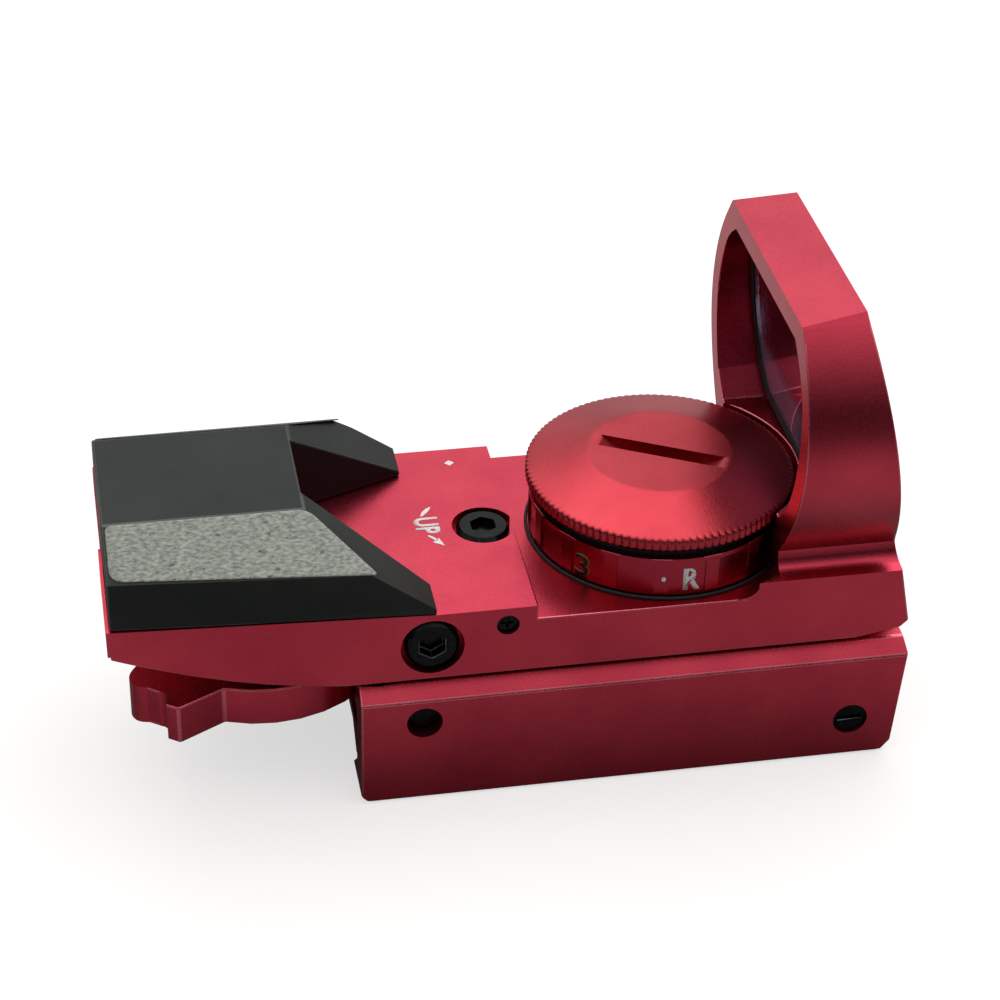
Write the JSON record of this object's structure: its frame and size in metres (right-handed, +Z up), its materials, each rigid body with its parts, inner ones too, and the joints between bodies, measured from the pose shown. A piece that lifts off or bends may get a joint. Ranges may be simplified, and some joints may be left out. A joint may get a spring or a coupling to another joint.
{
  "type": "red dot finder",
  "caption": "Open reflex finder: low housing with raised lens hood, emitter cover, battery dial with switch ring, and lever-locked rail clamp.",
  "frame": {"origin": "middle of the length and width, on the plane that the clamp stands on", "axes": "+X along the line of sight from the eye to the objective end, +Y left, +Z up"},
  "size_m": [0.081, 0.0364, 0.0525],
  "materials": {
    "red_anodised": "satin red anodised",
    "black_anodised": "satin black anodised",
    "black_steel": "black oxide, glossy",
    "spring_steel": "bright",
    "cell_steel": "bright nickel plate",
    "brass_parts": "machined",
    "black_plastic": "moulded",
    "circuit_board": "solder mask",
    "lead_film": "film",
    "black_rubber": "matte",
    "coated_glass": "partly reflecting coat"
  },
  "bodies": {
    "housing": {"housing": "red_anodised", "emitter_cover": "black_anodised", "window_seal": "black_rubber", "window_glass": "coated_glass", "elevation_lock_screw": "black_steel", "lift_spring": "spring_steel", "side_spring": "spring_steel", "cup_screw_near": "spring_steel", "cup_screw_far": "spring_steel", "battery_cup": "black_plastic", "switch_board": "circuit_board", "detent_leaf": "spring_steel", "battery_cell": "cell_steel", "cell_contact": "brass_parts", "emitter_lead": "lead_film", "clamp_base": "red_anodised", "cross_pin": "black_steel", "guide_pin": "black_steel", "jaw_spring_rear": "spring_steel", "jaw_spring_front": "spring_steel", "clamp_screw_rear_near": "black_steel", "clamp_screw_rear_far": "black_steel", "clamp_screw_front_near": "black_steel", "clamp_screw_front_far": "black_steel", "lever_bush": "brass_parts", "lever_washer": "spring_steel", "lever_screw": "black_steel", "cover_screw_rear_near": "black_steel", "cover_screw_rear_far": "black_steel", "cover_screw_front_near": "black_steel", "cover_screw_front_far": "black_steel"},
    "elevation_stage": {"elevation_arm": "brass_parts"},
    "elevation_screw": {"elevation_screw": "black_steel"},
    "windage_stage": {"windage_shoe": "brass_parts"},
    "windage_screw": {"windage_screw": "black_steel"},
    "emitter": {"emitter_carriage": "black_plastic", "led_board": "circuit_board", "led_emitter": "black_plastic"},
    "number_ring": {"number_ring": "red_anodised", "switch_wiper": "brass_parts"},
    "cap_lift": {"cap_seal": "black_rubber"},
    "battery_cap": {"battery_cap": "red_anodised"},
    "qd_lever": {"qd_lever": "red_anodised"},
    "clamp_jaw": {"clamp_jaw": "red_anodised", "jaw_link": "spring_steel", "link_pin": "black_steel"}
  },
  "joints": [
    {"name": "elevation_lift", "type": "slide", "parent": "housing", "child": "elevation_stage", "axis": [0, 0, 1], "range_m": [-0.0003, 0.0003]},
    {"name": "elevation_turn", "type": "hinge", "parent": "elevation_stage", "child": "elevation_screw", "pos_m": [-0.00148, 0, 0.01867], "axis": [0, 0, 1], "range_deg": [-216, 216]},
    {"name": "windage_push", "type": "slide", "parent": "housing", "child": "windage_stage", "axis": [0, 1, 0], "range_m": [-0.0003, 0.0003]},
    {"name": "windage_turn", "type": "hinge", "parent": "windage_stage", "child": "windage_screw", "pos_m": [-0.00898, -0.00819, 0.01929], "axis": [0, 1, 0], "range_deg": [-216, 216]},
    {"name": "emitter_shift", "type": "slide", "parent": "elevation_stage", "child": "emitter", "axis": [0, 1, 0], "range_m": [-0.00031, 0.00031]},
    {"name": "ring_turn", "type": "hinge", "parent": "housing", "child": "number_ring", "pos_m": [0.01674, 0, 0.02337], "axis": [0, 0, 1], "continuous": true},
    {"name": "cap_rise", "type": "slide", "parent": "housing", "child": "cap_lift", "axis": [0, 0, 1], "range_m": [0, 0.0015]},
    {"name": "cap_turn", "type": "hinge", "parent": "cap_lift", "child": "battery_cap", "pos_m": [0.01674, 0, 0.02837], "axis": [0, 0, 1], "range_deg": [0, 541]},
    {"name": "jaw_slide", "type": "slide", "parent": "housing", "child": "clamp_jaw", "axis": [0, -1, 0], "range_m": [0, 0.0012]},
    {"name": "lever_turn", "type": "hinge", "parent": "housing", "child": "qd_lever", "pos_m": [-0.02461, 0, 0.01257], "axis": [0, 0, -1], "range_deg": [0, 90.5]}
  ],
  "couplings": [
    {"joint": "elevation_turn", "follows": "elevation_lift", "rad_per_m": 12537},
    {"joint": "windage_turn", "follows": "windage_push", "rad_per_m": 12537},
    {"joint": "emitter_shift", "follows": "windage_push", "ratio": 1},
    {"joint": "cap_turn", "follows": "cap_rise", "rad_per_m": 6283.2},
    {"joint": "lever_turn", "follows": "jaw_slide", "rad_per_m": 1309}
  ]
}
